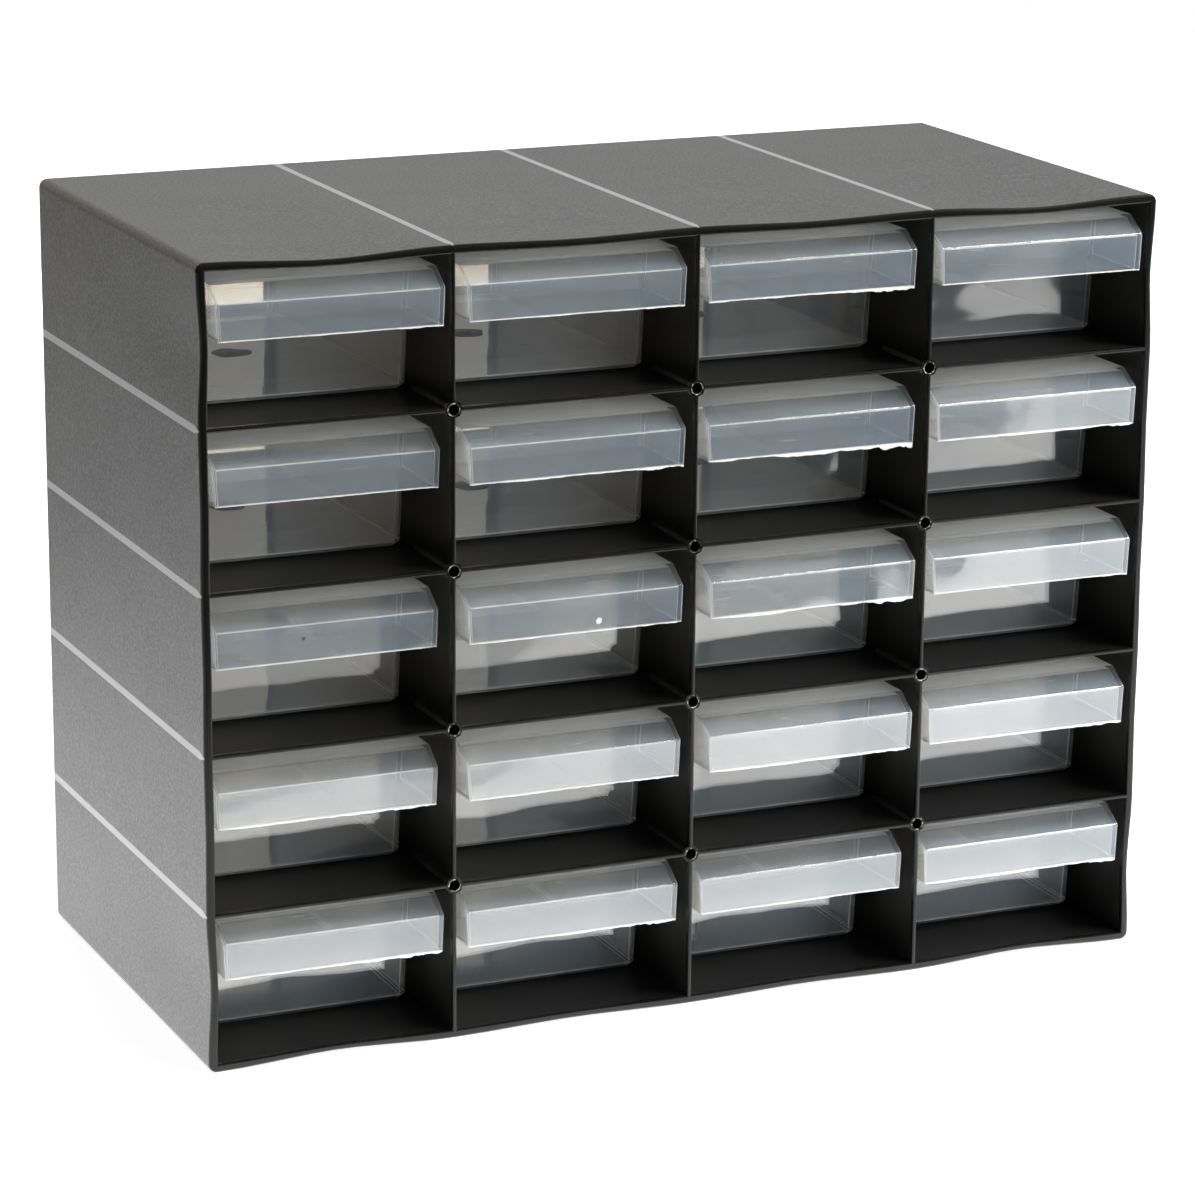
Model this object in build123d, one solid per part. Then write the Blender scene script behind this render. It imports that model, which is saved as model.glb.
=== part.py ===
"""A bench-top parts bin cabinet: one moulded case with twenty cells, and a tapered tray drawer in each cell.

Millimetres and degrees. +Z is up and the open front faces -Y. The origin is the middle of the underside.
"""

import os
from math import cos, hypot, radians, sin, tan

from build123d import *

# The case, one moulding. Its back wall is open behind each cell, but for a rim that the drawer stops at.
case_width = 300.0
case_height = 233.6
case_depth = 147.0
columns = 4
rows = 5
outer_wall = 2.5
partition = 1.2
shelf = 1.2
back_wall = 2.2
stop_rim = 3.3
corner_round = 2.5
lip_round = 1.0
lip_steps = 3
mouth_round = 0.4
back_bevel = 1.0

# How far each face of a cell comes in from its mouth to its back, so that the mould's core pulls out.
cell_draft = 0.25

# How far the outer walls sag inwards between the partitions at the front. The sag dies out on the way back,
# so that the rear of every wall is flat, and the inner faces sag less.
level_bow_end = 1.5
level_bow_middle = 0.8
upright_bow_end = 1.0
upright_bow_middle = 0.3
inner_bow_share = 0.6
bow_reach = 100.0

# The hollow eight-sided tubes where partitions and shelves cross.
tube_sides = 8
tube_across = 4.8
tube_wall = 0.65
tube_length = 26.0

# The drawer, one thin moulding: a tapered tray with a finger-pull hood across its front. One drawer fits
# every cell, so its width and height are less than a corner cell's, the smallest, by these amounts.
spare_width = 4.3
spare_height = 5.02
drawer_wall = 1.0
drawer_floor = 1.1
side_draft = 2.6
end_draft = 1.0
tray_corner = 3.0
tray_floor_bevel = 1.2
inner_corner_bevel = 1.2
hood_reach = 25.0
hood_face = 11.0
hood_slope_drop = 4.7
hood_slope_run = 7.5
hood_crease_round = 0.6

# How the drawers stand in their cells. Home is as far back as they go.
home_recess = 5.0
back_clearance = 0.5
slide_clearance = 0.3

# How far each drawer was left pulled out from home, and how far it sits to the right of the middle of its
# cell. The top row comes first, and no two drawers are quite alike.
left_open = [
    [4.0, 3.1, 2.2, 4.4],
    [1.7, 3.3, 2.6, 4.2],
    [1.3, 3.1, 3.8, 4.2],
    [1.0, 2.9, 4.2, 3.9],
    [2.9, 2.5, 2.2, 3.8],
]
set_right = [
    [0.9, 1.2, 0.4, 0.5],
    [0.1, 1.3, 0.8, 0.5],
    [-0.4, 1.2, 1.6, 0.4],
    [-0.5, 1.0, 1.7, 0.5],
    [0.5, 0.8, 0.3, 0.3],
]

column_pitch = case_width / columns
row_pitch = case_height / rows
front = -case_depth / 2
cell_depth = case_depth - back_wall
drawer_width = column_pitch - outer_wall - partition / 2 - spare_width
drawer_height = row_pitch - outer_wall - shelf / 2 - spare_height
drawer_length = cell_depth - back_clearance - home_recess
hood_bottom = drawer_height - hood_slope_drop - hood_face


def bay(start, end, inward, bow):
    """One stretch of a wall's edge between two partitions: straight, or sagging inwards by bow."""
    if bow == 0:
        return Line(start, end)
    middle = (start + end) / 2 + inward * bow
    along = (end - start).normalized()
    return Spline(start, middle, end, tangents=[along, along])


def bay_bow(index, count, at_end, in_middle):
    """An outer wall sags most in its first and last bay."""
    return at_end if index in (0, count - 1) else in_middle


def outline_side(corner, along, inward, pitch, count, bows):
    """The bays along one side of the case's outline, between its two rounded corners."""
    edges = []
    for index in range(count):
        first = corner_round if index == 0 else pitch * index
        last = pitch * count - corner_round if index == count - 1 else pitch * (index + 1)
        bow = bay_bow(index, count, *bows)
        edges.append(bay(corner + along * first, corner + along * last, inward, bow))
    return edges


def case_outline(level_bows, upright_bows, inset=0):
    """The case's outer edge seen from the front, as one closed face, or a line a little inside that edge."""
    half = case_width / 2
    right, up = Vector(1, 0), Vector(0, 1)
    left, down = Vector(-1, 0), Vector(0, -1)
    sides = [
        outline_side(Vector(-half, inset), right, up, column_pitch, columns, level_bows),
        outline_side(Vector(half - inset, 0), up, left, row_pitch, rows, upright_bows),
        outline_side(Vector(half, case_height - inset), left, down, column_pitch, columns, level_bows),
        outline_side(Vector(inset - half, case_height), down, right, row_pitch, rows, upright_bows),
    ]
    edges = []
    for side, following in zip(sides, sides[1:] + sides[:1]):
        edges += side
        edges.append(TangentArc(side[-1] @ 1, following[0] @ 0, tangent=side[-1] % 1))
    return make_face(edges)


def cell_span(index, count, pitch, thickness):
    """The two faces that a cell lies between, measured from the case's own edge."""
    low = outer_wall if index == 0 else pitch * index + thickness / 2
    high = pitch * count - outer_wall if index == count - 1 else pitch * (index + 1) - thickness / 2
    return low, high


def cell_faces(column, row):
    """A cell's left, right, bottom and top faces at its mouth. Row 0 is the bottom one."""
    left, right = cell_span(column, columns, column_pitch, partition)
    bottom, top = cell_span(row, rows, row_pitch, shelf)
    return left - case_width / 2, right - case_width / 2, bottom, top


def cell_bows(column, row):
    """How far a cell's level and upright faces sag at its mouth, where they are on an outer wall."""
    level = bay_bow(column, columns, level_bow_end, level_bow_middle) * inner_bow_share
    upright = bay_bow(row, rows, upright_bow_end, upright_bow_middle) * inner_bow_share
    return level, upright


def cell_section(column, row, narrowed, bow_share):
    """A cell seen from the front. Its edges on the outer walls follow their sag."""
    left, right, bottom, top = cell_faces(column, row)
    low_left = Vector(left + narrowed, bottom + narrowed)
    low_right = Vector(right - narrowed, bottom + narrowed)
    high_right = Vector(right - narrowed, top - narrowed)
    high_left = Vector(left + narrowed, top - narrowed)
    level, upright = (bow * bow_share for bow in cell_bows(column, row))
    return make_face([
        bay(low_left, low_right, Vector(0, 1), level if row == 0 else 0),
        bay(low_right, high_right, Vector(-1, 0), upright if column == columns - 1 else 0),
        bay(high_right, high_left, Vector(0, -1), level if row == rows - 1 else 0),
        bay(high_left, low_left, Vector(1, 0), upright if column == 0 else 0),
    ])


def at_depth(sketch, depth):
    """Stands a front-view sketch upright, at a depth behind the case's front."""
    return Plane.XZ.offset(-front - depth) * sketch


def lip_section(angle):
    """The case's sagging outline at one step round its lip, from 90 degrees in front to 0 at the lip's back."""
    inset = lip_round * (1 - cos(radians(angle)))
    depth = lip_round * (1 - sin(radians(angle)))
    bows = (level_bow_end, level_bow_middle), (upright_bow_end, upright_bow_middle)
    return at_depth(case_outline(*bows, inset), depth)


def make_shell():
    """The case's outer form: sagging, rounded edges at the mouth, and straight, bevelled ones at the back."""
    lip = [lip_section(90 * (1 - step / lip_steps)) for step in range(lip_steps + 1)]
    straight = at_depth(case_outline((0, 0), (0, 0)), bow_reach)
    shell = loft(lip + [straight], ruled=True)
    shell += extrude(straight, bow_reach - case_depth)
    return chamfer(shell.edges().group_by(Axis.Y)[-1], back_bevel)


def make_cell(column, row):
    """The hollow of one cell. It flares at its mouth, which rounds the edges there, and tapers to its back."""
    flare = mouth_round * (1 - sin(radians(45)))
    sections = [
        at_depth(cell_section(column, row, -mouth_round, 1), 0),
        at_depth(cell_section(column, row, -flare, 1), flare),
        at_depth(cell_section(column, row, 0, 1), mouth_round),
        at_depth(cell_section(column, row, cell_draft, 0), cell_depth),
    ]
    return loft(sections, ruled=True)


def make_window(column, row):
    """The opening in the back wall behind one cell."""
    section = cell_section(column, row, cell_draft + stop_rim, 0)
    return extrude(at_depth(section, cell_depth), -back_wall)


def make_case():
    """The shell, its cells and their windows, and the tubes at the crossings."""
    cells = [make_cell(column, row) for column in range(columns) for row in range(rows)]
    windows = [make_window(column, row) for column in range(columns) for row in range(rows)]
    crossings = [
        Pos(column_pitch * column - case_width / 2, row_pitch * row)
        for column in range(1, columns)
        for row in range(1, rows)
    ]
    outside = RegularPolygon(tube_across / 2, tube_sides, major_radius=False)
    bore = RegularPolygon(tube_across / 2 - tube_wall, tube_sides, major_radius=False)
    tubes = [extrude(at_depth(place * outside, 0), -tube_length) for place in crossings]
    bores = [extrude(at_depth(place * bore, 0), tube_wall - tube_length) for place in crossings]
    return make_shell() - (cells + windows) + tubes - bores


def come_in(height, draft):
    """How far a drafted side of the drawer has come in at a height above the drawer's underside."""
    return (drawer_height - height) * tan(radians(draft))


def drafted_face(middle, half_top, bottom, draft):
    """A face whose two sides come in from the drawer's rim down to bottom."""
    half_bottom = half_top - come_in(bottom, draft)
    return make_face(Polyline(
        (middle - half_bottom, bottom),
        (middle + half_bottom, bottom),
        (middle + half_top, drawer_height),
        (middle - half_top, drawer_height),
        close=True,
    ))


def tray_block(bottom, inset):
    """A block drafted on all four sides: the tray's outside, or the hollow in it, with square corners."""
    half_width = drawer_width / 2 - inset
    half_length = (drawer_length - hood_reach) / 2 - inset
    middle = (hood_reach + drawer_length) / 2
    seen_from_front = Plane.XZ * drafted_face(0, half_width, bottom, side_draft)
    seen_from_side = Plane.YZ * drafted_face(middle, half_length, bottom, end_draft)
    return extrude(seen_from_front, -2 * drawer_length) & extrude(seen_from_side, drawer_width, both=True)


def floor_bevel(block):
    """What trims a tray block's underside: a taper out to twice the block's height, with its corners cut too."""
    underside = block.faces().sort_by(Axis.Z)[0]
    trimmed = offset(underside, -tray_floor_bevel, kind=Kind.INTERSECTION)
    taper = extrude(trimmed, -drawer_height, taper=-45)
    return chamfer(upright_edges(taper), tray_corner / 2)


def upright_edges(block):
    """The four edges that run from a tray block's underside to its rim."""
    return block.edges().filter_by(lambda edge: abs((edge @ 1 - edge @ 0).Z) > drawer_height / 2)


def make_tray():
    """The tray: round upright corners, a bevelled underside, and a hollow that keeps the wall even."""
    outside = tray_block(0, 0)
    outside = fillet(upright_edges(outside), tray_corner) & floor_bevel(outside)
    inside = tray_block(drawer_floor, drawer_wall)
    inside = chamfer(upright_edges(inside), inner_corner_bevel)
    return outside, outside - inside


def hood_block(inset):
    """The hood's outside, or the finger space under it: its side profile drawn out across the drawer."""
    slope = hypot(hood_slope_run, hood_slope_drop)
    back = hood_reach + tray_corner
    profile = Polyline(
        (inset, hood_bottom),
        (inset, drawer_height - hood_slope_drop - inset * (slope - hood_slope_drop) / hood_slope_run),
        (hood_slope_run + inset * (slope - hood_slope_run) / hood_slope_drop, drawer_height - inset),
        (back, drawer_height - inset),
        (back, hood_bottom),
        close=True,
    )
    seen_from_front = Plane.XZ * drafted_face(0, drawer_width / 2 - inset, hood_bottom, side_draft)
    seen_from_side = Plane.YZ * make_face(profile)
    return extrude(seen_from_side, drawer_width, both=True) & extrude(seen_from_front, -back)


def is_hood_crease(edge):
    """True for the two long outer creases, above and below the hood's slope."""
    across = abs((edge @ 1 - edge @ 0).X) > drawer_width / 2
    return across and edge.center().Z > hood_bottom + hood_face / 2 and edge.center().Y < hood_reach


def make_drawer():
    """The tray and its hood, as one moulding."""
    tray_outside, tray = make_tray()
    hood = hood_block(0)
    hood = fillet(hood.edges().filter_by(is_hood_crease), hood_crease_round)
    hood -= hood_block(drawer_wall)
    return (hood - tray_outside) + tray


def drawer_place(column, row):
    """Where a drawer rests: on the highest point of its cell's floor, as it was left."""
    left, right, bottom, _ = cell_faces(column, row)
    level, _ = cell_bows(column, row)
    rise = max(cell_draft, level) if row == 0 else cell_draft
    across = (left + right) / 2 + set_right[rows - 1 - row][column]
    depth = home_recess - left_open[rows - 1 - row][column]
    return Pos(across, front + depth, bottom + rise + slide_clearance)


def main():
    """Builds every piece where it rests and writes one file for each."""
    os.makedirs("parts", exist_ok=True)
    export_step(make_case(), "parts/case.step")
    drawer = make_drawer()
    for row in range(rows):
        for column in range(columns):
            name = f"drawer_row{rows - row}_col{column + 1}"
            export_step(drawer_place(column, row) * drawer, f"parts/{name}.step")


if __name__ == "__main__":
    main()
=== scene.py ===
# %% [markdown]
# # A parts bin cabinet, dressed for its portrait
#
# The cabinet is one black plastic case, moulded as a grid of twenty cells, with a milky drawer in each cell.
# The shapes come from a packed model, which this script loads and never bends. What is made here is the rest:
# the finish of every surface, the marks that moulding leaves, and the light to see them by.

# %% Load the packed model
import math
import random

import bmesh
import bpy
from mathutils import Matrix, Vector


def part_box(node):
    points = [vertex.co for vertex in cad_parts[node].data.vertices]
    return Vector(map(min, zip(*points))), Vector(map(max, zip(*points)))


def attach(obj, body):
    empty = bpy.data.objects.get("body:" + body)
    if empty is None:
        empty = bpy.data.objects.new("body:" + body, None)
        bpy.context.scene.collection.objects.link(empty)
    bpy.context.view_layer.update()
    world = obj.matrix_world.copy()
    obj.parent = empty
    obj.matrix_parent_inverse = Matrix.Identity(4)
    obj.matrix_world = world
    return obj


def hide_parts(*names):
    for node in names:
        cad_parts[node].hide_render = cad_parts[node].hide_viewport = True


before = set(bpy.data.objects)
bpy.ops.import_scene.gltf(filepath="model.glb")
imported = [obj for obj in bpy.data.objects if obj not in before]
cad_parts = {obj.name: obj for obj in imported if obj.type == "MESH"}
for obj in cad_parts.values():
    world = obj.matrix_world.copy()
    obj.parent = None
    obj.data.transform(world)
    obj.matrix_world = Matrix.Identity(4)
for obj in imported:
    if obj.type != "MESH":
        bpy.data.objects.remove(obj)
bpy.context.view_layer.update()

# %% [markdown]
# ## Sizes read from the model
#
# Nothing here repeats a size of the case that the model can tell. The grid has four columns and five rows,
# and its outer corners give the pitch of both. All lengths are in metres, so small ones are written as a
# number of millimetres times MM.

# %% Measure the grid
MM = 0.001
COLUMNS, ROWS = 4, 5
case_low, case_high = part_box("case")
COLUMN_PITCH = (case_high.x - case_low.x) / COLUMNS
ROW_PITCH = (case_high.z - case_low.z) / ROWS
FRONT = case_low.y
print("pitch in mm:", round(COLUMN_PITCH / MM, 2), round(ROW_PITCH / MM, 2))


def drawer_name(row, column):
    """The name of a drawer's node. Row 1 is the top one."""
    return f"drawer_row{row}_col{column}"


# %% [markdown]
# ## Writing shader maths as sums
#
# A grown-up finish is mostly arithmetic: a mask here, a climb there. Joining Math nodes by hand hides that,
# so a small class wraps a socket and lets Python's own operators add the nodes.


# %% A socket that can be added, multiplied and compared
class Signal:
    """The output of a node, which + - * / and a few named steps work on."""

    def __init__(self, finish, socket):
        self.finish = finish
        self.socket = socket

    def step(self, operation, *values):
        """Adds one Math node fed by this signal and the other values."""
        return self.finish.node("ShaderNodeMath", {"operation": operation}, [self, *values])

    def __add__(self, other):
        return self.step("ADD", other)

    __radd__ = __add__

    def __mul__(self, other):
        return self.step("MULTIPLY", other)

    __rmul__ = __mul__

    def __sub__(self, other):
        return self.step("SUBTRACT", other)

    def __rsub__(self, other):
        return self.finish.node("ShaderNodeMath", {"operation": "SUBTRACT"}, [other, self])

    def __truediv__(self, other):
        return self.step("DIVIDE", other)

    def __rtruediv__(self, other):
        return self.finish.node("ShaderNodeMath", {"operation": "DIVIDE"}, [other, self])

    def __abs__(self):
        return self.step("ABSOLUTE")

    def most(self, other):
        """The larger of two signals."""
        return self.step("MAXIMUM", other)

    def above(self, edge, blur):
        """0 below edge, 1 above edge + blur, and a smooth climb between."""
        return self.finish.node(
            "ShaderNodeMapRange",
            {"interpolation_type": "SMOOTHSTEP"},
            {"Value": self, "From Min": edge, "From Max": edge + blur},
        )


print("signal steps:", [name for name in vars(Signal) if not name.startswith("__")])

# %% [markdown]
# A finish is a material being put together. Every node in it comes from one method: its type, then its
# settings, then what goes into its sockets. The other methods are short names for the nodes used most.


# %% A material being put together
class Finish:
    """A material, or the world, and the nodes that make it."""

    def __init__(self, name, world=False):
        self.made = bpy.data.worlds.new(name) if world else bpy.data.materials.new(name)
        self.made.use_nodes = True
        self.tree = self.made.node_tree
        self.tree.nodes.clear()
        self.output = self.tree.nodes.new("ShaderNodeOutputWorld" if world else "ShaderNodeOutputMaterial")

    def node(self, kind, settings=None, inputs=None, output=0):
        """Adds a node, feeds its sockets by name or in order, and returns one of its outputs."""
        made = self.tree.nodes.new(kind)
        for key, value in (settings or {}).items():
            setattr(made, key, value)
        pairs = inputs.items() if isinstance(inputs, dict) else enumerate(inputs or [])
        for key, value in pairs:
            if isinstance(value, Signal):
                self.tree.links.new(value.socket, made.inputs[key])
            else:
                made.inputs[key].default_value = value
        return Signal(self, made.outputs[output])

    def place(self):
        """Where on the object this is, in metres, as one vector."""
        return self.node("ShaderNodeTexCoord", output="Object")

    def facing(self):
        """The way the surface faces, as one vector."""
        return self.node("ShaderNodeTexCoord", output="Normal")

    def parts(self, vector):
        """The x, y and z of a vector, as three signals."""
        split = self.node("ShaderNodeSeparateXYZ", inputs=[vector])
        return [Signal(self, out) for out in split.socket.node.outputs]

    def noise(self, vector, size, detail=2.0, rough=0.5):
        """Cloudy noise from 0 to 1, whose blobs are about size metres across."""
        inputs = {"Vector": vector, "Scale": 1 / size, "Detail": detail, "Roughness": rough}
        return self.node("ShaderNodeTexNoise", inputs=inputs)

    def blend(self, mask, first, second):
        """A colour that goes from first to second as mask goes from 0 to 1."""
        return self.node("ShaderNodeMix", {"data_type": "RGBA"}, {0: mask, 6: first, 7: second}, output=2)

    def bump(self, height, distance, strength=1.0, under=None):
        """A dented normal. height is a signal, and distance is how deep a height of 1 is, in metres."""
        inputs = {"Height": height, "Distance": distance, "Strength": strength}
        if under is not None:
            inputs["Normal"] = under
        return self.node("ShaderNodeBump", inputs=inputs)

    def plastic(self, **inputs):
        """A Principled shader. Underlines in the names of its sockets stand for spaces."""
        named = {key.replace("_", " "): value for key, value in inputs.items()}
        return self.node("ShaderNodeBsdfPrincipled", inputs=named)

    def mix_shaders(self, mask, first, second):
        """A shader that goes from first to second as mask, a signal or a number, goes from 0 to 1."""
        return self.node("ShaderNodeMixShader", inputs=[mask, first, second])

    def finish(self, shader):
        """Sends a shader to the output, and returns the material or world."""
        self.tree.links.new(shader.socket, self.output.inputs["Surface"])
        return self.made


def grey(level, warmth=0.0):
    """A colour of one level, a little warmer or cooler."""
    return (level * (1 + warmth), level, level * (1 - warmth), 1.0)


print("mid grey, a little warm:", grey(0.5, 0.02))

# %% [markdown]
# ## Where the case is grained
#
# The case is one moulding in black plastic. Its outside has a fine spark-eroded grain that scatters light and
# turns it grey. Inside the cells, and round the lip at the front, the mould was polished, so the plastic there
# is smooth and near black. Two materials on two sets of faces could do that, but the packed faces don't end
# where the grain does, so a mask made from the place on the case decides it.

# %% The outer skin
SKIN, REAR_SKIN = 2.1 * MM, 1.6 * MM
SHARP = 0.2 * MM


def outer_skin(x, y, z):
    """1 on the outside of the case and 0 in its cells."""
    mask = abs(x).above(case_high.x - SKIN, SHARP)
    mask = mask.most(z.above(case_high.z - SKIN, SHARP))
    mask = mask.most(1 - z.above(SKIN - SHARP, SHARP))
    return mask.most(y.above(case_high.y - REAR_SKIN, SHARP))


print("skin in mm:", SKIN / MM, "at the back:", REAR_SKIN / MM)

# %% [markdown]
# Where a partition or a shelf meets an outer wall, the thick spot cools last and leaves a smooth pale band
# down the grain. It could be painted as an image, but a mask that measures how far each place is from the
# nearest whole pitch stays sharp at any size.

# %% Bands over the partitions and shelves
BAND_FRONT, BAND_BACK = 0.25 * MM, 1.05 * MM  # half the band's width at the lip and further back
BAND_BLUR = 0.25 * MM
OUTER_CELL = 0.4  # the part of a pitch, next to a corner, that has no band


def to_nearest(value, pitch):
    """How far a coordinate is from the nearest whole multiple of pitch."""
    return (0.5 - abs((value / pitch).step("FRACT") - 0.5)) * pitch


def smooth_bands(made, x, y, z, outside):
    """1 on the bands and 0 elsewhere."""
    half = BAND_FRONT + (BAND_BACK - BAND_FRONT) * y.above(FRONT + 0.5 * MM, 4.0 * MM)
    level_face = abs(made.parts(made.facing())[2]).above(0.6, 0.2)
    inner_x = 1 - abs(x).above(case_high.x - OUTER_CELL * COLUMN_PITCH, 0.1 * MM)
    inner_z = 1 - z.above(case_high.z - OUTER_CELL * ROW_PITCH, 0.1 * MM)
    inner_z = z.above(OUTER_CELL * ROW_PITCH, 0.1 * MM) * inner_z
    over_partition = inner_x * (1 - (to_nearest(x, COLUMN_PITCH) - half).above(0, BAND_BLUR))
    over_shelf = inner_z * (1 - (to_nearest(z, ROW_PITCH) - half).above(0, BAND_BLUR))
    band = level_face * over_partition + (1 - level_face) * over_shelf
    behind_lip = y.above(FRONT + 0.3 * MM, 0.4 * MM)
    before_rear = 1 - y.above(case_high.y - 1.0 * MM, 0.1 * MM)
    return band * outside * behind_lip * before_rear


print("band in mm:", round(2 * BAND_FRONT / MM, 2), "to", round(2 * BAND_BACK / MM, 2))

# %% [markdown]
# ## The case's plastic
#
# Two shaders are mixed by those masks. The grained one gets its grey from pale flecks on black, as the real
# grain does, with a small bump under them. The polished one is nearly black and dull enough inside the cells
# not to mirror the room, which a smoother one did.


# %% Black grained plastic
def case_plastic():
    made = Finish("case_black_plastic")
    vector = made.place()
    x, y, z = made.parts(vector)
    outside = outer_skin(x, y, z)
    band = smooth_bands(made, x, y, z, outside)
    grained = outside * y.above(FRONT + 0.9 * MM, 0.3 * MM) * (1 - band)
    inside = y.above(FRONT + 1.2 * MM, 1.0 * MM)

    grain = made.noise(vector, 0.8 * MM, 3.0, 0.65)
    cloud = made.noise(vector, 38 * MM, 3.0, 0.5)
    speck = made.noise(vector, 2.2 * MM, 1.0).above(0.70, 0.03)
    skin = made.blend(grain.above(0.42, 0.20), grey(0.020, 0.01), grey(0.092, 0.02))
    skin = made.blend(cloud.above(0.35, 0.3) * 0.25, skin, grey(0.068, 0.02))
    skin = made.blend(speck * 0.12, skin, grey(0.20))
    swell = made.bump(made.noise(vector, 26 * MM, 1.0), 0.25 * MM)

    polished = made.plastic(
        Base_Color=made.blend(cloud, grey(0.003, 0.05), grey(0.006, 0.08)),
        Roughness=0.16 + 0.26 * inside + 0.06 * cloud, Normal=swell, IOR=1.33,
    )
    matt = made.plastic(
        Base_Color=made.blend(band, skin, grey(0.28)), Roughness=0.45 - 0.12 * band,
        Normal=made.bump(grain * grained, 0.10 * MM, 0.9, under=swell), IOR=1.5, Specular_IOR_Level=0.6,
    )
    return made.finish(made.mix_shaders(grained.most(band), polished, matt))


CASE_PLASTIC = case_plastic()
print("finish:", CASE_PLASTIC.name, "nodes:", len(CASE_PLASTIC.node_tree.nodes))

# %% [markdown]
# ## The case
#
# The case keeps its packed shape, which is already right. It only needs its finish.

# %% Paint the case
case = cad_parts["case"]
case.data.materials.clear()
case.data.materials.append(CASE_PLASTIC)
print("case faces:", len(case.data.polygons))

# %% [markdown]
# ## The drawers' plastic
#
# The drawers are thin milky polypropylene. A wall lets most light through, scatters a little of it, which
# looks blue, and mirrors a little more off its polished face. A glass shader could do it, but it is slow and
# blotchy for twenty thin boxes one inside the other. So each face is partly see-through instead.
#
# How milky a face looks depends on how slanted it is seen, so Layer Weight raises the cover on slanted faces,
# most on the floor and on the flat top of the hood. A thin skin of mirror lies over it all.

# %% Helpers for see-through plastic
CLEAR_WARMTH = (0.985, 0.965, 0.925, 1)  # what a milky wall does to the light that gets through


def seen_through(made, cover, tint, shader):
    """Lets (1 - cover) of what lies behind show through a shader, warmed by tint."""
    clear = made.node("ShaderNodeBsdfTransparent", inputs={"Color": tint})
    return made.mix_shaders(cover, clear, shader)


def warped_faces(made, vector, x, z):
    """The unevenness of thin walls, and the hood faces' sunk middle, which mirrors a line as an arch."""
    wavy = made.bump(made.noise(vector, 26 * MM, 1.0), 0.42 * MM)
    level = (z / ROW_PITCH).step("FRACT")
    aside = ((x / COLUMN_PITCH).step("FRACT") - 0.62) * COLUMN_PITCH
    sunk = (0.6 - level) * ROW_PITCH * aside * aside * 12.0
    return made.bump(sunk, 1.0, under=wavy)


print("light through ten walls:", [round(part ** 10, 2) for part in CLEAR_WARMTH[:3]])

# %% [markdown]
# The parts of a drawer are found from their place in their cell: the floor is the lowest twentieth of a row's
# pitch, and the hood is the upper half of the first 27 mm.

# %% Milky plastic
FLOOR_LEVEL, HOOD_LEVEL, LEVEL_BLUR = 0.055, 0.53, 0.02
HOOD_REACH = 27 * MM


def milky_plastic():
    made = Finish("drawer_milky_plastic")
    vector = made.place()
    x, y, z = made.parts(vector)
    level = (z / ROW_PITCH).step("FRACT")
    floor = 1 - level.above(FLOOR_LEVEL, LEVEL_BLUR)
    hood = level.above(HOOD_LEVEL, LEVEL_BLUR) * (1 - y.above(FRONT + HOOD_REACH, 2 * MM))
    lying = abs(made.parts(made.facing())[2])
    slant = made.node("ShaderNodeLayerWeight", inputs={"Blend": 0.5}, output="Facing").step("POWER", 5.0)

    cloud = made.noise(vector, 30 * MM, 3.0, 0.5)
    wisp = made.noise(vector, 5 * MM, 4.0, 0.7).above(0.64, 0.2)
    smear = made.noise(vector, 9 * MM, 3.0, 0.6).above(0.56, 0.12)
    stretched = made.node("ShaderNodeVectorMath", {"operation": "MULTIPLY"}, [vector, (0.06, 1.0, 1.0)])
    streak = made.noise(stretched, 1.1 * MM, 2.0, 0.5).above(0.70, 0.04)

    colour = made.blend(cloud, (0.56, 0.76, 1.0, 1), (0.70, 0.84, 1.0, 1))
    colour = made.blend(streak, colour, grey(0.9))
    normal = warped_faces(made, vector, x, z)
    gloss = 0.04 + 0.10 * wisp
    milk = made.plastic(Base_Color=colour, Roughness=gloss, Normal=normal, IOR=1.6)
    glow = made.node("ShaderNodeBsdfTranslucent", inputs={"Color": (0.88, 0.90, 0.92, 1)})
    milk = made.mix_shaders(0.32 + 0.33 * hood, milk, glow)
    cover = 0.08 + 0.04 * cloud + 0.04 * wisp + 0.10 * streak + 0.03 * smear + 0.10 * hood
    cover = cover + (0.7 + 1.6 * floor + 2.2 * hood * lying) * slant
    body = seen_through(made, cover, CLEAR_WARMTH, milk)
    mirror = made.plastic(Base_Color=grey(0.95), Metallic=1.0, Roughness=gloss, Normal=normal)
    return made.finish(made.mix_shaders(0.085 + 0.25 * slant, body, mirror))


MILKY = milky_plastic()
print("finish:", MILKY.name, "nodes:", len(MILKY.node_tree.nodes))

# %% [markdown]
# Edges, drawn-out fins and the marks on the drawers are all see-through plastic too, only paler or darker and
# more covering. On the edges the paleness is a painted highlight. One function with a few numbers makes them,
# so that they stay a family.


# %% Edges, fins and scars
def pale_plastic(name, cloud_size, first, second, rough, cover, tint, patchy=None, ior=1.5):
    """Plastic that goes from one colour to another in clouds, and covers from cover[0] to the sum of cover."""
    made = Finish(name)
    cloud = made.noise(made.place(), cloud_size, 3.0, 0.6)
    mask = cloud.above(*patchy) if patchy else cloud
    shader = made.plastic(Base_Color=made.blend(mask, first, second), Roughness=rough, IOR=ior)
    return made.finish(seen_through(made, cover[0] + cover[1] * cloud, tint, shader))


# The edges' pale, covering plastic is a painted highlight for the glow that rounded milky edges gather.
EDGE_PAINTED_HIGHLIGHT = pale_plastic(
    "drawer_edge_painted_highlight", 5 * MM, (0.84, 0.87, 0.89, 1), (0.96, 0.96, 0.95, 1), 0.36,
    (0.34, 0.42), (0.99, 0.97, 0.93, 1), ior=1.6,
)
FIN = pale_plastic(
    "drawer_white_fin", 1.5 * MM, (0.80, 0.82, 0.84, 1), grey(1.0), 0.3, (0.62, 0.36), (0.99, 0.98, 0.95, 1)
)
SCAR = pale_plastic(
    "drawer_gate_scar", 2 * MM, grey(0.012), grey(0.05), 0.6, (0.78, 0.22), (0.97, 0.95, 0.92, 1), (0.45, 0.2)
)
print("finishes:", EDGE_PAINTED_HIGHLIGHT.name, FIN.name, SCAR.name)
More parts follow.
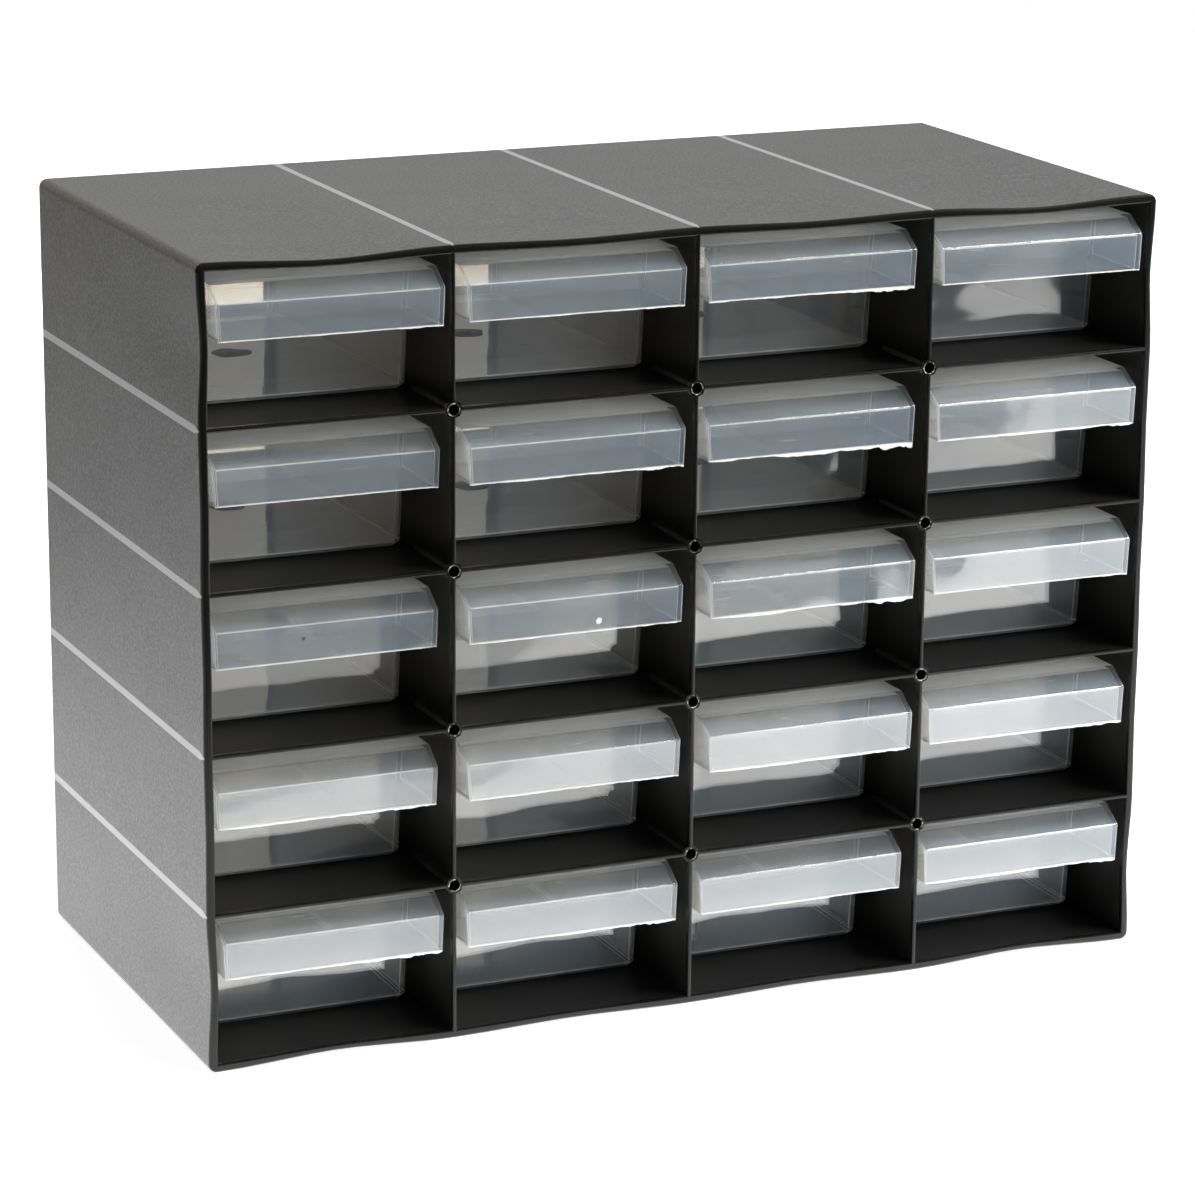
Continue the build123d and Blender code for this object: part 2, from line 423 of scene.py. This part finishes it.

# %% [markdown]
# ## The drawers
#
# A moulded edge is never knife sharp, and in milky plastic a rounded edge gathers light and glows. The packed
# drawer is copied, its flat faces are merged back together, and a narrow bevel goes round every sharp edge. The
# bevel's finish is paler and more covering than the walls, a painted highlight that stands in for that glow.
# Weighted normals keep the large faces flat to the eye beside those bevels.

# %% Copy the drawers and soften their edges
EDGE_WIDTH = 0.25 * MM
SHARP_ANGLE, FLAT_ANGLE = math.radians(24), math.radians(1)


def soft_edged_copy(node):
    """A drawer with the packed drawer's shape and narrow bevels on its edges, whose pale finish is a painted
    highlight.
    """
    mesh = bpy.data.meshes.new("moulded_" + node.name)
    shape = bmesh.new()
    shape.from_mesh(node.data)
    bmesh.ops.remove_doubles(shape, verts=shape.verts, dist=0.002 * MM)
    bmesh.ops.dissolve_limit(shape, angle_limit=FLAT_ANGLE, verts=shape.verts, edges=shape.edges)
    for face in shape.faces:
        face.smooth = True
        face.material_index = 0
    shape.to_mesh(mesh)
    shape.free()
    mesh.materials.append(MILKY)
    # The second finish, on the bevels, paints in their highlight.
    mesh.materials.append(EDGE_PAINTED_HIGHLIGHT)
    copy = bpy.data.objects.new("moulded_" + node.name, mesh)
    bpy.context.scene.collection.objects.link(copy)
    bevel = copy.modifiers.new("soft edges", "BEVEL")
    bevel.width = EDGE_WIDTH
    bevel.segments = 2
    bevel.limit_method = "ANGLE"
    bevel.angle_limit = SHARP_ANGLE
    bevel.material = 1
    bevel.use_clamp_overlap = False
    evened = copy.modifiers.new("flat walls stay flat", "WEIGHTED_NORMAL")
    evened.mode = "FACE_AREA"
    evened.weight = 100
    evened.keep_sharp = True
    return copy


drawers = {}
for row in range(1, ROWS + 1):
    for column in range(1, COLUMNS + 1):
        name = drawer_name(row, column)
        piece = soft_edged_copy(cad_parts[name])
        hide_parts(name)
        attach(piece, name)
        drawers[row, column] = piece
print("drawers:", len(drawers))

# %% [markdown]
# ## Small pieces made from rings
#
# The fins, scars, marks and rims that follow are all bands of faces between one ring of points and the next.
# Two helpers do that part for all of them.


# %% Stitch rings, and turn a shape into a piece
def stitch(shape, rings):
    """Joins each ring of points to the next with a band of faces."""
    for one, two in zip(rings, rings[1:]):
        count = len(one)
        for k in range(count):
            shape.faces.new((one[k], one[(k + 1) % count], two[(k + 1) % count], two[k]))


def new_piece(name, shape, material, body, slot):
    """Makes an object from a bmesh, and lets it ride on a body."""
    bmesh.ops.recalc_face_normals(shape, faces=shape.faces)
    mesh = bpy.data.meshes.new(name)
    shape.to_mesh(mesh)
    shape.free()
    mesh.materials.append(material)
    for face in mesh.polygons:
        face.use_smooth = True
    piece = bpy.data.objects.new(name, mesh)
    bpy.context.scene.collection.objects.link(piece)
    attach(piece, body)
    return piece


print("helpers:", stitch.__name__, new_piece.__name__)

# %% [markdown]
# ## Flash on the hoods
#
# Where the two halves of a worn mould meet, plastic squeezes out as a thin ragged fin. On this cabinet it hangs
# from the lower edge of some of the hoods, worse on some than on others. Each fin is a ribbon whose lower side
# follows random steps, and every drawer has its own seed, so the fins are the same on every run.

# %% Ragged fins under the hoods
FIN_STEPS = 90
FIN_BACK, FIN_FRONT, FIN_OVERLAP = 0.46 * MM, 0.32 * MM, 0.05 * MM
# How worn the mould is, row by row and drawer by drawer.
FIN_DEPTH = [
    [0.3, 0.4, 1.1, 0.2],
    [0.3, 1.0, 1.6, 0.6],
    [0.2, 0.4, 1.2, 0.4],
    [0.7, 0.5, 0.7, 0.7],
    [0.9, 0.8, 0.4, 1.0],
]


def hood_face(node):
    """The left, right, lower and front limits of the upright face of a drawer's hood."""
    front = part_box(node)[0].y
    points = [v.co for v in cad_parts[node].data.vertices if v.co.y < front + 0.05 * MM]
    xs, zs = [p.x for p in points], [p.z for p in points]
    return min(xs), max(xs), min(zs), front


def hood_fin(row, column, depth):
    """The fin under one hood, hanging depth millimetres at its deepest."""
    name = drawer_name(row, column)
    left, right, bottom, front = hood_face(name)
    dice = random.Random(100 * row + column)
    shape = bmesh.new()
    drop, rings = 0.2, []
    for step in range(FIN_STEPS + 1):
        drop += dice.uniform(-0.12, 0.12)
        drop = min(max(drop, 0.10), 0.8)
        if step > 0.8 * FIN_STEPS:
            drop = min(max(drop + dice.uniform(-0.3, 0.35), 0.1), 1.0)
        along = left + 0.4 * MM + (right - left - 0.8 * MM) * step / FIN_STEPS
        hang = drop * (0.6 + 0.4 * (step / FIN_STEPS) ** 0.5) * depth * MM
        lean = dice.uniform(0.0, 0.25) * MM
        rings.append([
            shape.verts.new((along, front + FIN_FRONT, bottom + FIN_OVERLAP)),
            shape.verts.new((along, front + FIN_FRONT + lean, bottom - hang)),
            shape.verts.new((along, front + FIN_BACK + lean, bottom - 0.9 * hang)),
            shape.verts.new((along, front + FIN_BACK, bottom + FIN_OVERLAP)),
        ])
    stitch(shape, rings)
    shape.faces.new(rings[0])
    shape.faces.new(reversed(rings[-1]))
    return new_piece("hood_flash_" + name, shape, FIN, name, "drawer_plastic")


fins = [hood_fin(row, column, FIN_DEPTH[row - 1][column - 1]) for row, column in drawers]
print("fins:", len(fins))

# %% [markdown]
# ## Gate scars on the drawer floors
#
# Each drawer was filled with plastic through one point in the middle of its floor. It leaves a dull round
# patch, a third of a millimetre high at most. A lathed profile, slightly dished and not quite round, does it.


# %% Dull discs on the floors
def lathe(profile, sides, centre, wobble):
    """A bmesh made by turning (radius, height) points about an upright line through centre."""
    shape = bmesh.new()
    rings = []
    for radius, height in profile:
        ring = []
        for side in range(sides):
            angle = 2 * math.pi * side / sides
            reach = radius * (1 + wobble(angle))
            turned = (reach * math.cos(angle), reach * math.sin(angle), height)
            ring.append(shape.verts.new(Vector(centre) + Vector(turned)))
        rings.append(ring)
    stitch(shape, rings)
    shape.faces.new(rings[-1])
    shape.faces.new(reversed(rings[0]))
    return shape


FLOOR_THICKNESS = 1.1 * MM
GATE_DEPTH = 85 * MM  # how far behind the drawer's front the gate was
SCAR_PROFILE = [
    (6.0 * MM, -0.02 * MM), (6.0 * MM, 0.06 * MM), (5.5 * MM, 0.10 * MM),
    (1.6 * MM, 0.05 * MM), (1.2 * MM, 0.25 * MM), (0.4 * MM, 0.32 * MM),
]


def scar_piece(row, column):
    name = drawer_name(row, column)
    low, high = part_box(name)
    dice = random.Random(row * 10 + column)
    x = (low.x + high.x) / 2 + dice.uniform(-1, 1) * MM
    y = low.y + GATE_DEPTH + dice.uniform(-2, 2) * MM
    shift = 9 * dice.random()

    def wobble(angle):
        return 0.07 * math.sin(3 * angle + shift) + 0.05 * math.sin(5 * angle)

    shape = lathe(SCAR_PROFILE, 28, (x, y, low.z + FLOOR_THICKNESS), wobble)
    return new_piece("gate_scar_" + name, shape, SCAR, name, "drawer_plastic")


scars = [scar_piece(row, column) for row, column in drawers]
print("gate scars:", len(scars))

# %% [markdown]
# ## A bubble and a speck
#
# One hood has a burst bubble near its lower edge, a ring two millimetres across with a raised middle, made in
# the edges' pale plastic, whose paleness is a painted highlight. A speck of dust is caught on another. Both are
# turned as the scars are, and then tipped upright on to the hood's face.

# %% Marks on the hood faces
RING = [
    (0.95 * MM, 0), (0.88 * MM, 0.16 * MM), (0.70 * MM, 0.16 * MM),
    (0.55 * MM, 0.02 * MM), (0.30 * MM, 0.03 * MM), (0.12 * MM, 0.12 * MM),
]
DOT = [(0.45 * MM, 0), (0.32 * MM, 0.08 * MM), (0.12 * MM, 0.10 * MM)]
UPRIGHT = Matrix.Rotation(math.radians(90), 4, "X")
MARK_SINK = 0.02 * MM


def face_mark(tag, row, column, along, above, profile, material):
    """A turned mark on a hood's face, placed in mm from the face's lower left corner."""
    name = drawer_name(row, column)
    left, right, bottom, front = hood_face(name)
    shape = lathe(profile, 20, (0, 0, 0), lambda angle: 0.06 * math.sin(2 * angle))
    spot = Matrix.Translation((left + along * MM, front + MARK_SINK, bottom + above * MM))
    shape.transform(spot @ UPRIGHT)
    return new_piece(f"{tag}_row{row}_col{column}", shape, material, name, "drawer_plastic")


marks = [
    # The bubble is made in the edges' pale plastic, a painted highlight.
    face_mark("bubble", 3, 2, 40.5, 3.0, RING, EDGE_PAINTED_HIGHLIGHT),
    face_mark("dust", 3, 1, 26.6, 6.7, DOT, SCAR),
]
print("marks:", [mark.name for mark in marks])

# %% [markdown]
# ## Torn rims on the tubes
#
# A small tube runs back from every crossing of a shelf and a partition. Its mouth was trimmed by hand, and a
# pale torn rim is left round the dark hole. Each is a ring with a random width and height round its turn. It
# stays behind the lip's own front, so that the cabinet keeps its depth.


# %% Torn plastic
def torn_flash():
    """Thin torn plastic, pale where it is stressed."""
    made = Finish("case_torn_flash")
    cloud = made.noise(made.place(), 0.9 * MM, 3.0, 0.6)
    colour = made.blend(cloud.above(0.46, 0.10), grey(0.03), grey(0.80, 0.03))
    return made.finish(made.plastic(Base_Color=colour, Roughness=0.4))


FLASH = torn_flash()
print("finish:", FLASH.name)

# %% [markdown]
# A few sine waves of random size and phase, added up, give an outline that closes on itself, which random
# steps would not.

# %% Rims round the tube mouths
RIM_SIDES = 40
RIM_BEHIND = 0.02 * MM  # how far the mouth's plane lies behind the lip's front


def tube_rim(row, column):
    """The rim at the crossing under a row and right of a column."""
    dice = random.Random(1000 + 10 * row + column)
    x = case_low.x + column * COLUMN_PITCH
    z = case_high.z - row * ROW_PITCH
    waves = [(k, dice.uniform(0, 6.28), dice.uniform(0.2, 1)) for k in (1, 2, 3, 5)]
    shape = bmesh.new()
    rings = []
    for side in range(RIM_SIDES):
        angle = 2 * math.pi * side / RIM_SIDES
        torn = sum(size * math.sin(k * angle + shift) for k, shift, size in waves) / 2.4
        inner = (1.72 + 0.05 * torn) * MM
        outer = (2.32 + 0.16 * max(torn, -0.4)) * MM
        out = (0.06 + 0.10 * max(torn, 0)) * MM
        profile = [
            (inner, -0.3 * MM), (inner, 0.6 * out), (0.5 * (inner + outer), out), (outer, -0.05 * MM)
        ]
        rings.append([
            shape.verts.new((
                x + reach * math.cos(angle),
                FRONT + RIM_BEHIND - min(forward, RIM_BEHIND),
                z + reach * math.sin(angle),
            ))
            for reach, forward in profile
        ])
    stitch(shape, rings + rings[:1])
    return new_piece(f"tube_rim_row{row}_col{column}", shape, FLASH, "case", "case_plastic")


rims = [tube_rim(row, column) for row in range(1, ROWS) for column in range(1, COLUMNS)]
print("tube rims:", len(rims))

# %% [markdown]
# ## The table
#
# The picture was taken on a white table that glows a little, as a product table lit from below does. That glow
# is why the bottom of the left side and the lowest drawers are the brightest: both mirror the table close by.
# So the table gets a soft glow that fades with distance and ends at its front edge. The camera sees it lifted
# to plain white further off, and close by as the shade that holds the cabinet's shadow.

# %% A white table
TABLE_FRONT = -0.315  # where the glow ends, as the row 4 hoods mirror it
GLOW_IN_FRONT, GLOW_BEHIND = grey(1.2), grey(2.0)
TABLE_CORNERS = [
    (-1.5, -0.43, 0), (0.24, -0.43, 0), (0.55, -0.85, 0), (1.5, -0.85, 0), (1.5, 1.7, 0), (-1.5, 1.7, 0)
]


def table_top():
    made = Finish("pale_table")
    x, y, z = made.parts(made.place())
    apart = ((x - 0.10) * (x - 0.10) + (y + 0.05) * (y + 0.05)).step("SQRT")
    near = 1 - apart.above(0.32, 0.45)
    past_front = y - TABLE_FRONT + (x - 0.05).most(0.0)
    near = near * past_front.above(-0.01, 0.018)
    glow = made.blend(near, grey(0.0), made.blend(y.above(-0.16, 0.08), GLOW_IN_FRONT, GLOW_BEHIND))
    lift = made.blend(apart.above(0.35, 0.5), grey(0.74), grey(1.0))
    seen = made.node("ShaderNodeLightPath", output="Is Camera Ray")
    return made.finish(made.plastic(
        Base_Color=grey(0.88), Roughness=0.7, Specular_IOR_Level=0.2,
        Emission_Color=made.blend(seen, glow, lift), Emission_Strength=1.0,
    ))


def flat_card(name, corners, material):
    """A flat piece of the studio, which is no part of the cabinet."""
    mesh = bpy.data.meshes.new(name)
    mesh.from_pydata(corners, [], [range(len(corners))])
    mesh.materials.append(material)
    card = bpy.data.objects.new(name, mesh)
    bpy.context.scene.collection.objects.link(card)
    return card


table = flat_card("table_top", TABLE_CORNERS, table_top())
print("stage:", table.name)

# %% [markdown]
# ## The lamps
#
# A soft key lamp stands high on the front right. A weaker one, lower and more in front, fills the drawers'
# faces. The third shines in through the rear windows. The last two would show up as bright squares in the
# polished plastic, and the photograph has none there, so glossy rays don't see them.

# %% Three soft lamps
CENTRE = (0, 0, 0.11)


def soft_lamp(name, place, size, watts, mirrored):
    """A rectangular lamp that looks at the middle of the cabinet."""
    data = bpy.data.lights.new(name, "AREA")
    data.shape = "RECTANGLE"
    data.size, data.size_y = size
    data.energy = watts
    lamp = bpy.data.objects.new(name, data)
    lamp.location = place
    lamp.rotation_euler = (Vector(CENTRE) - Vector(place)).to_track_quat("-Z", "Y").to_euler()
    lamp.visible_glossy = mirrored
    bpy.context.scene.collection.objects.link(lamp)


soft_lamp("key_lamp", (0.74, -0.50, 0.88), (0.55, 0.45), 20, True)
soft_lamp("front_lamp", (0.9, -1.2, 0.5), (0.6, 0.5), 6.5, False)
soft_lamp("back_lamp", (0.08, 1.1, 0.2), (0.5, 0.34), 3, False)
print("lamps:", [item.name for item in bpy.data.lights])

# %% [markdown]
# ## The room
#
# The camera sees the room as plain white. Glossy faces see a pale backdrop behind the cabinet, warmer on the
# left and darker far out on either side, and a dark room in front, as the real ones do. All other light from
# the room is soft and grey.

# %% Soft studio air
WARM_BACKDROP = (1.0, 0.90, 0.76, 1)


def studio_air():
    made = Finish("studio_air", world=True)
    x, y, z = made.parts(made.node("ShaderNodeTexCoord", output="Generated"))
    over_table = z.above(-0.10, 0.05)
    backdrop = made.blend(x.above(-0.05, 0.2), WARM_BACKDROP, grey(0.86))
    backdrop = made.blend(x.above(0.34, 0.2), backdrop, grey(0.55))
    backdrop = made.blend(x.above(-0.50, 0.12), grey(0.05), backdrop)
    room = made.blend(z.above(0.0, 0.5), grey(0.04), grey(0.42))
    mirrored = made.blend(y.above(-0.1, 0.7) * over_table, room, backdrop)
    soft = made.blend(y.above(0.15, 0.5) * over_table, grey(0.20), grey(0.95))
    glossy = made.node("ShaderNodeLightPath", output="Is Glossy Ray")
    seen = made.node("ShaderNodeLightPath", output="Is Camera Ray")
    seen = seen.most(made.node("ShaderNodeLightPath", output="Is Transmission Ray"))
    colour = made.blend(seen, made.blend(glossy, soft, mirrored), grey(1.0))
    return made.finish(made.node("ShaderNodeBackground", inputs={"Color": colour}))


bpy.context.scene.world = studio_air()
print("world:", bpy.context.scene.world.name)

# %% [markdown]
# ## The camera
#
# The picture is a long-lens view from the front left and a little above. The camera's place and angles were
# worked out from the cabinet's corners and its even grid.

# %% Set up the camera
AZIMUTH, ELEVATION, ROLL = map(math.radians, (23.82, 15.05, 0.40))
CAMERA_PLACE = (-0.52658, -1.19667, 0.45819)
FOCAL_PIXELS, PICTURE_PIXELS, SENSOR = 4431.5, 1195, 36.0
ahead = Vector((
    math.sin(AZIMUTH) * math.cos(ELEVATION), math.cos(AZIMUTH) * math.cos(ELEVATION), -math.sin(ELEVATION)
))
level_right = Vector((math.cos(AZIMUTH), -math.sin(AZIMUTH), 0))
level_up = level_right.cross(ahead)
right = math.cos(ROLL) * level_right + math.sin(ROLL) * level_up
up = -math.sin(ROLL) * level_right + math.cos(ROLL) * level_up
turn = Matrix((right, up, -ahead)).transposed().to_4x4()
lens = bpy.data.cameras.new("camera")
lens.sensor_width = SENSOR
lens.lens = FOCAL_PIXELS / PICTURE_PIXELS * SENSOR
lens.clip_start = 0.01
camera = bpy.data.objects.new("camera", lens)
camera.matrix_world = Matrix.Translation(CAMERA_PLACE) @ turn
bpy.context.scene.collection.objects.link(camera)
bpy.context.scene.camera = camera
print("lens:", round(lens.lens, 1), "mm")

# %% [markdown]
# ## Last settings
#
# The Standard view shows colours as they are written. A look through a drawer crosses a dozen faces, each one
# partly see-through, and with Blender's own limit of eight the rest would turn black, so the limit is raised.

bpy.context.scene.view_settings.view_transform = "Standard"
bpy.context.scene.cycles.transparent_max_bounces = 24
